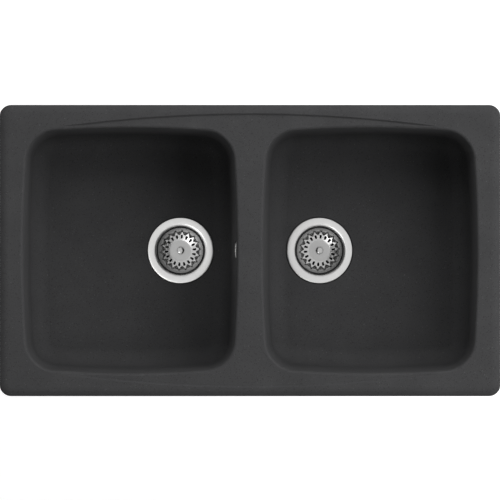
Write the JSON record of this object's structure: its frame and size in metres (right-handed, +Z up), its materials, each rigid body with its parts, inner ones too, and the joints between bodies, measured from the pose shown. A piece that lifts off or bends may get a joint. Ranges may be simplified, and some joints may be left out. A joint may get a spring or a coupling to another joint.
{
  "type": "double bowl kitchen sink",
  "caption": "Inset double bowl kitchen sink in dark stone composite, with lift-out basket strainers, an overflow and a bottle trap.",
  "frame": {"origin": "middle of the sink, on the worktop's top face, which the rim's underside rests on", "axes": "+X along the sink, with the left bowl at -X; +Y to the back; +Z up"},
  "size_m": [0.86, 0.5, 0.5461],
  "materials": {
    "composite": "matte",
    "seal_foam": "matte",
    "zinc_steel": "satin",
    "polished_steel": "polished",
    "screw_steel": "satin",
    "black_rubber": "matte",
    "black_plastic": "satin",
    "clip_steel": "satin",
    "brushed_steel": "satin",
    "knob_steel": "polished",
    "brass": "satin",
    "white_plastic": "satin",
    "nut_plastic": "satin",
    "white_rubber": "matte"
  },
  "bodies": {
    "sink": {"bend_pipe_left": "white_plastic", "bend_pipe_right": "white_plastic", "body_cross_left": "black_plastic", "body_cross_right": "black_plastic", "body_gasket_left": "black_rubber", "body_gasket_right": "black_rubber", "clamp_nut_left": "brass", "clamp_nut_right": "brass", "clamp_screw_left": "screw_steel", "clamp_screw_right": "screw_steel", "clip_claws": "zinc_steel", "clip_screws": "zinc_steel", "cup_grid_left": "brushed_steel", "cup_grid_right": "brushed_steel", "flange_gasket_left": "black_rubber", "flange_gasket_right": "black_rubber", "hose_clip_lower": "clip_steel", "hose_clip_upper": "clip_steel", "inlet_blank_cap": "black_plastic", "outlet_pipe": "white_plastic", "overflow_elbow": "black_plastic", "overflow_gasket": "black_rubber", "overflow_hose": "black_plastic", "overflow_rosette": "polished_steel", "overflow_screw": "screw_steel", "rim_seal": "seal_foam", "sink_body": "composite", "strainer_cup_left": "brushed_steel", "strainer_cup_right": "brushed_steel", "tee": "white_plastic", "trap_bottle": "white_plastic", "trap_cup": "nut_plastic", "trap_cup_seal": "black_rubber", "trap_dip_tube": "white_plastic", "union_nut_outlet_left": "nut_plastic", "union_nut_outlet_right": "nut_plastic", "union_nut_tee_left": "nut_plastic", "union_nut_tee_right": "nut_plastic", "union_nut_trap_inlet": "nut_plastic", "union_nut_trap_outlet": "nut_plastic", "union_washer_outlet_left": "white_rubber", "union_washer_outlet_right": "white_rubber", "union_washer_tee_left": "white_rubber", "union_washer_tee_right": "white_rubber", "union_washer_trap_inlet": "white_rubber", "union_washer_trap_outlet": "white_rubber", "waste_body_left": "black_plastic", "waste_body_right": "black_plastic"},
    "basket_unit_left": {"basket_left": "brushed_steel", "basket_ring_left": "black_rubber"},
    "basket_unit_right": {"basket_right": "brushed_steel", "basket_ring_right": "black_rubber"},
    "plug_unit_left": {"plug_knob_left": "knob_steel", "plug_left": "black_rubber"},
    "plug_unit_right": {"plug_knob_right": "knob_steel", "plug_right": "black_rubber"}
  },
  "joints": [
    {"name": "basket_lift_left", "type": "slide", "parent": "sink", "child": "basket_unit_left", "axis": [0, 0, 1], "range_m": [0, 0.24]},
    {"name": "plug_pull_left", "type": "slide", "parent": "basket_unit_left", "child": "plug_unit_left", "axis": [0, 0, 1], "range_m": [0, 0.008]},
    {"name": "basket_lift_right", "type": "slide", "parent": "sink", "child": "basket_unit_right", "axis": [0, 0, 1], "range_m": [0, 0.24]},
    {"name": "plug_pull_right", "type": "slide", "parent": "basket_unit_right", "child": "plug_unit_right", "axis": [0, 0, 1], "range_m": [0, 0.008]}
  ]
}
